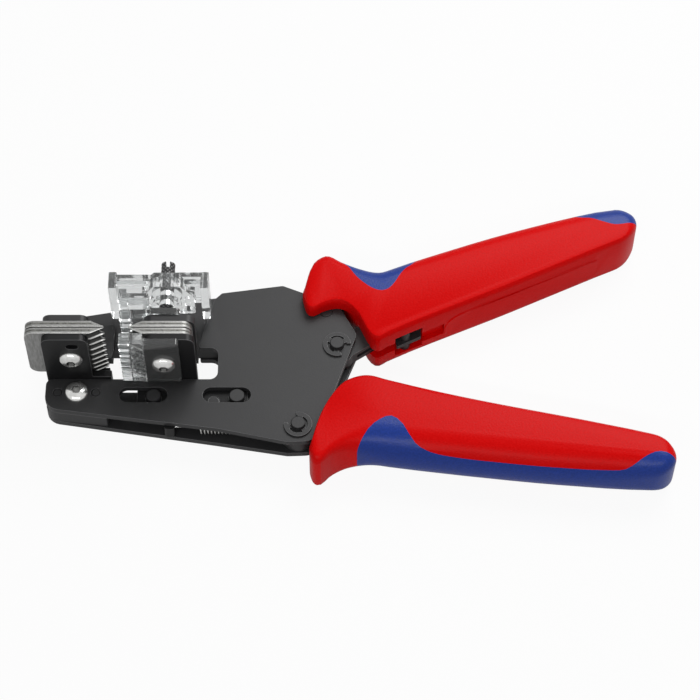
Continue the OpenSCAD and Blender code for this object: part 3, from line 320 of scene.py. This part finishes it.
ground_steel = bare_steel("ground_tool_steel", ("#7E7E7D", "#969695"), (0.4, 0.55), 0.4, 0.15, (1, 1, 0.15))
cut_steel = bare_steel("rough_cut_tool_steel", ("#3C3C3B", "#74746F"), (0.5, 0.68), 0.5, 0.6)
groove_painted_shade = bare_steel("tool_steel_groove_painted_shade", ("#343433", "#4C4C4B"), (0.4, 0.5), 0.4, 0.2)
painted_highlight_steel = bare_steel("tool_steel_painted_highlight", ("#A0A09E", "#BCBCBA"), (0.25, 0.35), 0.6, 0.1)
sheared_steel = bare_steel("tool_steel_sheared_rim", ("#747472", "#8C8C8A"), (0.35, 0.5), 0.4, 0.2)
CORNER = 0.12 * MM
SHEAR_RIM = 0.6 * MM
GROUND, CUT, GROOVE_SHADE, PAINTED_HIGHLIGHT, SHEARED = range(5)
# How far a face's normal leans along an axis.
HARDLY, SIDEWAYS, ACROSS, UPWARDS, LEVEL = 0.1, 0.3, 0.15, 0.55, 0.05


def kind_of(face):
    """Tells a blade's rim, its top and the upper corner of its far end, from its two sides and the rest."""
    if abs(face.normal.y) < HARDLY and face.normal.z > HARDLY:
        return "rim"
    if abs(face.normal.y) > SIDEWAYS and abs(face.normal.z) < HARDLY:
        return "side"
    return "other"


for name in ("fixed_blade_front", "fixed_blade_rear", "moving_blade_front", "moving_blade_rear"):
    blade = copied(name)
    bpy.ops.object.mode_set(mode="EDIT")
    bpy.ops.mesh.select_mode(type="EDGE")
    bpy.ops.mesh.select_all(action="DESELECT")
    bpy.ops.object.mode_set(mode="OBJECT")
    kinds = {}
    for face in blade.data.polygons:
        for key in face.edge_keys:
            kinds.setdefault(key, set()).add(kind_of(face))
    for edge in blade.data.edges:
        edge.select = kinds[edge.key] == {"rim", "side"}
    for finish in (ground_steel, cut_steel, groove_painted_shade, painted_highlight_steel, sheared_steel):
        blade.data.materials.append(finish)
    bpy.ops.object.mode_set(mode="EDIT")
    # The corners between rim and sides are bevelled and painted as highlight.
    bpy.ops.mesh.bevel(offset=CORNER, segments=1, affect="EDGES", material=PAINTED_HIGHLIGHT)
    bpy.ops.mesh.select_mode(type="FACE")
    bpy.ops.mesh.select_all(action="DESELECT")
    bpy.ops.object.mode_set(mode="OBJECT")
    for face in blade.data.polygons:
        if face.material_index == PAINTED_HIGHLIGHT:
            continue
        if kind_of(face) == "rim":
            face.material_index = SHEARED
            face.select = True
        elif min(abs(face.normal.x), abs(face.normal.y)) > ACROSS:
            # Groove faces that face up or lie level get a painted highlight, and the rest painted shade.
            painted_bright = face.normal.z > UPWARDS or abs(face.normal.z) < LEVEL
            face.material_index = PAINTED_HIGHLIGHT if painted_bright else GROOVE_SHADE
    bpy.ops.object.mode_set(mode="EDIT")
    bpy.ops.mesh.inset(thickness=SHEAR_RIM)
    blade.active_material_index = CUT
    bpy.ops.object.material_slot_assign()
    bpy.ops.object.mode_set(mode="OBJECT")
    stand_in(blade, name)

# Screws
# Nickel-plated button heads with hexagon sockets clamp the blades and the bracket feet.
# The plating is bright, with the faint waviness of a pressed head. The sockets are painted dark as shade, and
# what faces up in them is painted lighter as lit.
bright_steel = bare_steel("nickel_plated_steel", ("#C9C9C7", "#DCDCDA"), (0.14, 0.24), 1.2, 0.1)
socket_painted_shade = bare_steel("nickel_plated_socket_painted_shade", ("#3C3C3C", "#6A6A6A"), (0.35, 0.5), 0.4, 0.2)
socket_painted_light = bare_steel("nickel_plated_socket_painted_light", ("#8A8A88", "#B4B4B2"), (0.6, 0.75), 0.4, 0.3)
SOCKET_R = 1.35 * MM
PLATED, SOCKET_SHADE, SOCKET_LIT = range(3)
FACING_UP = 0.9
for name, across in (("fixed_screw_front", "xz"), ("fixed_screw_rear", "xz"), ("moving_screw_front", "xz"),
                     ("foot_screw_front", "xy"), ("foot_screw_rear", "xy")):
    screw = edged(name, 0.08, bright_steel)
    screw.data.materials.append(socket_painted_shade)
    screw.data.materials.append(socket_painted_light)
    middle = sum(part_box(name), Vector()) / 2
    # Socket faces are painted dark as shade, and those facing up are painted lighter as lit.
    for face in screw.data.polygons:
        if math.hypot(*(getattr(face.center - middle, axis) for axis in across)) < SOCKET_R:
            face.material_index = SOCKET_LIT if face.normal.z > FACING_UP else SOCKET_SHADE


# Wire guides and length stop
# Clear polycarbonate mouldings: a comb on each side of the moving jaw, and a stop that slides on the rod.
# Polished faces bend the light and thick edges go grey. A pebbled band on the front comb scatters the light,
# and darker spots are painted on its pebbles as shade.
RIPPLE, RIPPLE_RELIEF, RIPPLE_DEPTH = 3 * MM, 0.06, 0.2 * MM
PEBBLE, PEBBLE_RELIEF, PEBBLE_DEPTH = 1 * MM, 0.9, 0.25 * MM
PEBBLE_FROM, PEBBLE_TO = 0.5, 0.58
CLEAR, PEBBLE_PAINTED_SHADE = "#E0E2E2", "#8A8E8E"


def clear_moulding(name, pebbled=None):
    """Clear plastic, pebbled from one x to another and below a height where these are given."""
    material, tree = new_material(name)
    place = add(tree, "ShaderNodeTexCoord").outputs["Object"]
    ripple = add(tree, "ShaderNodeTexNoise", {"Vector": place, "Scale": 1 / RIPPLE, "Detail": 2})
    dents = add(tree, "ShaderNodeBump", {"Height": ripple.outputs["Fac"], "Strength": RIPPLE_RELIEF,
                                         "Distance": RIPPLE_DEPTH})
    tone = linear(CLEAR)
    if pebbled:
        apart = add(tree, "ShaderNodeSeparateXYZ", {0: place})
        inside = PEBBLE_RELIEF
        for axis, kind, limit in zip("XXZ", ("GREATER_THAN", "LESS_THAN", "LESS_THAN"), pebbled):
            side = add(tree, "ShaderNodeMath", {0: apart.outputs[axis], 1: limit}, operation=kind).outputs[0]
            inside = add(tree, "ShaderNodeMath", {0: side, 1: inside}, operation="MULTIPLY").outputs[0]
        pebbles = add(tree, "ShaderNodeTexNoise", {"Vector": place, "Scale": 1 / PEBBLE, "Detail": 2})
        spots = add(tree, "ShaderNodeMapRange", {"Value": pebbles.outputs["Fac"], "From Min": PEBBLE_FROM,
                                                 "From Max": PEBBLE_TO})
        # Darker spots painted on the pebbles as shade.
        dark = add(tree, "ShaderNodeMath", {0: spots.outputs["Result"], 1: inside}, operation="MULTIPLY")
        tone = add(tree, "ShaderNodeMix", {"Factor": dark.outputs[0], "A": linear(CLEAR),
                                           "B": linear(PEBBLE_PAINTED_SHADE)}, data_type="RGBA").outputs["Result"]
        dents = add(tree, "ShaderNodeBump", {"Height": pebbles.outputs["Fac"], "Strength": inside,
                                             "Distance": PEBBLE_DEPTH, "Normal": dents.outputs["Normal"]})
    shader = add(tree, "ShaderNodeBsdfPrincipled", {
        "Base Color": tone, "Roughness": 0.06, "IOR": 1.45, "Transmission Weight": 0.94,
        "Normal": dents.outputs["Normal"]})
    add(tree, "ShaderNodeOutputMaterial", {0: shader.outputs[0]})
    return material


clear_plastic = clear_moulding("clear_polycarbonate")
BAND_START, BAND_END, BAND_DROP = 0.7 * MM, 4.6 * MM, 6 * MM
blade_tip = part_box("moving_blade_front")[0].x
pebbled_plastic = clear_moulding("clear_polycarbonate_pebbled", (
    blade_tip + BAND_START, blade_tip + BAND_END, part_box("wire_guide_front")[1].z - BAND_DROP))
edged("wire_guide_front", 0.15, pebbled_plastic)
for name in ("wire_guide_rear", "length_stop"):
    edged(name, 0.15, clear_plastic)

# Stop rod
# A burnished screw that clamps the rear blade and carries the length stop, turned in one piece with a collar.
# The rod is diamond knurled, with its crests in a lighter steel than the grooves, and its free end has a
# driver slot.
lighter_crest = burnished("knurl_crest_lighter", ("#6A6A6B", "#8C8C8D"), (0.3, 0.4), 0.5)
ROD_SIDES = 112
SHANK_R, COLLAR_R, ROD_R = 2.0 * MM, 3.2 * MM, 2.15 * MM
SHANK_L, COLLAR_L = 6.3 * MM, 1.2 * MM
# The knurl is drawn coarser than a real one, so that it shows.
KNURLS_ROUND, KNURL_PITCH, KNURL_DEPTH = 10, 1.4 * MM, 0.24 * MM
GROOVE_SHARE = 0.24
PLAIN_END, CREST = 0.2 * MM, 0.02 * MM
RING_STEP = 0.15 * MM
SLOT_W, SLOT_DEEP = 1.2 * MM, 2.0 * MM
BLACK, LIGHTER = range(2)
rod_low, rod_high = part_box("stop_rod")
rod_at = Vector(((rod_low.x + rod_high.x) / 2, rod_low.y, (rod_low.z + rod_high.z) / 2))
knurl_y = rod_low.y + SHANK_L + COLLAR_L
bpy.ops.object.select_all(action="DESELECT")
bpy.ops.mesh.primitive_circle_add(vertices=ROD_SIDES, radius=SHANK_R, fill_type="NGON", location=rod_at,
                                  rotation=(math.pi / 2, 0, 0))
bpy.ops.object.transform_apply(location=True, rotation=True, scale=True)
rod = bpy.context.object
rod.name = "stop_rod_knurled"


def draw_out(length, scale=1.0):
    """Extrudes the rod's open end along its axis, and widens or narrows it."""
    bpy.ops.mesh.extrude_region_move(TRANSFORM_OT_translate={"value": (0, length, 0)})
    bpy.ops.transform.resize(value=(scale, 1, scale), center_override=rod_at)


bpy.ops.object.mode_set(mode="EDIT")
bpy.ops.mesh.select_all(action="SELECT")
draw_out(SHANK_L)
draw_out(0, COLLAR_R / SHANK_R)
draw_out(COLLAR_L)
draw_out(0, ROD_R / COLLAR_R)
rings = int((rod_high.y - knurl_y) / RING_STEP)
for _ in range(rings):
    draw_out((rod_high.y - knurl_y) / rings)
bpy.ops.mesh.select_all(action="SELECT")
bpy.ops.mesh.normals_make_consistent(inside=False)
bpy.ops.object.mode_set(mode="OBJECT")
for vertex in rod.data.vertices:
    out = Vector((vertex.co.x - rod_at.x, 0, vertex.co.z - rod_at.z))
    if not knurl_y + PLAIN_END < vertex.co.y < rod_high.y - PLAIN_END:
        continue
    turn = KNURLS_ROUND * math.atan2(out.z, out.x) / (2 * math.pi)
    along = vertex.co.y / KNURL_PITCH
    to_groove = min(abs(turns - round(turns)) for turns in (turn + along, turn - along))
    out *= 1 - KNURL_DEPTH / ROD_R * max(0, 1 - to_groove / GROOVE_SHARE)
    vertex.co = (rod_at.x + out.x, vertex.co.y, rod_at.z + out.z)
bpy.ops.object.select_all(action="DESELECT")
bpy.ops.mesh.primitive_cube_add(size=1, location=(rod_at.x, rod_high.y, rod_at.z),
                                scale=(SLOT_W, 2 * SLOT_DEEP, 3 * ROD_R))
saw = bpy.context.object
bpy.context.view_layer.objects.active = rod
cut = rod.modifiers.new("driver_slot", "BOOLEAN")
cut.object = saw
cut.operation = "DIFFERENCE"
bpy.ops.object.modifier_apply(modifier="driver_slot")
bpy.data.objects.remove(saw)
rod.select_set(True)
rod.data.materials.append(burnished_steel)
rod.data.materials.append(lighter_crest)
for face in rod.data.polygons:
    if math.hypot(face.center.x - rod_at.x, face.center.z - rod_at.z) > ROD_R - CREST:
        face.material_index = LIGHTER
stand_in(rod, "stop_rod")


# Handles
# Red moulded polypropylene round the levers, with soft blue inlays moulded on the palm side and a low panel
# on the upper grip's inner side. Both plastics have a fine spark-eroded grain that scatters the light.
GRAIN, GRAIN_RELIEF, GRAIN_DEPTH = 0.6 * MM, 0.9, 0.06 * MM
PLASTIC_IOR = 1.49


def moulded(name, colour, roughness, gloss):
    """Moulded plastic, speckled and dented. Its fine grain is drawn coarser, so that it shows."""
    material, tree = new_material(name)
    place = add(tree, "ShaderNodeTexCoord").outputs["Object"]
    grain = add(tree, "ShaderNodeTexNoise", {"Vector": place, "Scale": 1 / GRAIN, "Detail": 2}).outputs["Fac"]
    tint = add(tree, "ShaderNodeMapRange", {"Value": grain, "From Min": TONE_FROM, "From Max": TONE_TO})
    grained(tree, tint.outputs["Result"], grain, colour, roughness, GRAIN_RELIEF, GRAIN_DEPTH,
            {"IOR": PLASTIC_IOR, "Specular IOR Level": gloss})
    return material


red_plastic = moulded("moulded_red_polypropylene", ("#C60404", "#CE0808"), (0.3, 0.42), 0.06)
blue_plastic = moulded("soft_blue_elastomer", ("#13307C", "#19368A"), (0.28, 0.4), 0.2)
PANEL_LOW, PANEL_TOP = 3.2 * MM, 14 * MM
PANEL_SUNK = 0.5 * MM
TOP_AT_PIVOT, TOP_AT_END = 12.2 * MM, 11.4 * MM
PROUD_LOW, PROUD_TOP = 0.04 * MM, 0.3 * MM
PANEL_SLOPE = 0.45 * MM
FACING_IN, CLOSE = -0.85, 0.01 * MM


def raise_panel(grip):
    """The panel becomes a low pad, with a sloping upper edge and nearly flush at its lower one."""
    points = grip.data.vertices
    floor = []
    for face in grip.data.polygons:
        heights = [points[i].co.z for i in face.vertices]
        off = max(abs(min(heights) - PANEL_LOW), abs(max(heights) - PANEL_TOP))
        if face.normal.y < FACING_IN and off < CLOSE:
            floor.append(face)
    inside = {i for face in floor for i in face.vertices}
    outward = sum((face.normal * face.area for face in floor), Vector()).normalized()
    rim = {i for edge in grip.data.edges if inside.intersection(edge.vertices) for i in edge.vertices}
    near, far = (limit(points[i].co.x for i in inside) for limit in (min, max))
    height = PANEL_TOP - PANEL_LOW
    for i in rim:
        place = points[i].co
        top = TOP_AT_PIVOT + (TOP_AT_END - TOP_AT_PIVOT) * (place.x - near) / (far - near)
        place.z = PANEL_LOW + (place.z - PANEL_LOW) * (top - PANEL_LOW) / height
        share = (place.z - PANEL_LOW) / height
        if i in inside:
            points[i].co += outward * (PANEL_SUNK + PROUD_LOW + (PROUD_TOP - PROUD_LOW) * share)
        else:
            place.z += PANEL_SLOPE * share


for name in ("upper_grip", "lower_grip"):
    grip = copied(name)
    if name == "upper_grip":
        raise_panel(grip)
    grip.data.materials.append(red_plastic)
    stand_in(grip, name)
for name in ("upper_saddle_inlay", "upper_end_inlay", "lower_grip_inlay"):
    inlay = copied(name)
    inlay.data.materials.append(blue_plastic)
    stand_in(inlay, name)


# Springs
# Two return springs wound of bright drawn wire: one with a straight lead pulls the front carriage back, and a
# short one sits in the strip arm's window. Each stretches between its post and what it pulls.
WIRE_R, COIL_R = 0.25 * MM, 1.4 * MM
CARRIAGE_CURLS, ARM_CURLS = 19, 7
LEAD = 7 * MM
POINTS_ROUND = 24
BEND_SHARE = 0.75
drawn_wire = bare_steel("drawn_spring_wire", ("#8E8E8C", "#B5B5B3"), (0.22, 0.34), 0.3, 0.1)


def wound(name, start, along, length, curls, lead):
    """Coil from a point along an axis. A straight lead, if any, bends smoothly into the first curl."""
    up = Vector((0, 0, 1))
    side = up.cross(along)
    count = POINTS_ROUND * curls
    bend = BEND_SHARE * POINTS_ROUND if lead else 0
    route = [start - lead * along + COIL_R * up] if lead else []
    for step in range(count + 1):
        eased = step * step / 2 / bend if step < bend else step - bend / 2
        angle = math.pi / 2 + 2 * math.pi * eased / POINTS_ROUND
        route.append(start + along * (WIRE_R + (length - 2 * WIRE_R) * step / count)
                     + COIL_R * (math.cos(angle) * side + math.sin(angle) * up))
    bpy.ops.object.select_all(action="DESELECT")
    bpy.ops.curve.primitive_nurbs_path_add(location=(0, 0, 0))
    spring = bpy.context.object
    spring.name = name + "_wound"
    spring.data.splines.clear()
    wire = spring.data.splines.new("POLY")
    wire.points.add(len(route) - 1)
    for point, place in zip(wire.points, route):
        point.co = (*place, 1)
    spring.data.bevel_depth = WIRE_R
    spring.data.bevel_resolution = 3
    spring.data.use_fill_caps = True
    bpy.ops.object.convert(target="MESH")
    spring = bpy.context.object
    bpy.ops.object.mode_set(mode="EDIT")
    bpy.ops.mesh.select_all(action="SELECT")
    bpy.ops.mesh.remove_doubles(threshold=WELD)
    bpy.ops.mesh.normals_make_consistent(inside=False)
    bpy.ops.object.mode_set(mode="OBJECT")
    bpy.ops.object.shade_smooth_by_angle(angle=SHARP)
    spring.data.materials.clear()
    spring.data.materials.append(drawn_wire)
    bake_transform(spring)
    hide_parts(name)


low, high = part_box("carriage_spring")
start = Vector((low.x + LEAD, (low.y + high.y) / 2, (low.z + high.z) / 2))
wound("carriage_spring", start, Vector((1, 0, 0)), high.x - low.x - LEAD, CARRIAGE_CURLS, LEAD)
low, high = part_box("arm_spring")
start = Vector(((low.x + high.x) / 2, low.y, (low.z + high.z) / 2))
wound("arm_spring", start, Vector((0, 1, 0)), high.y - low.y, ARM_CURLS, 0)
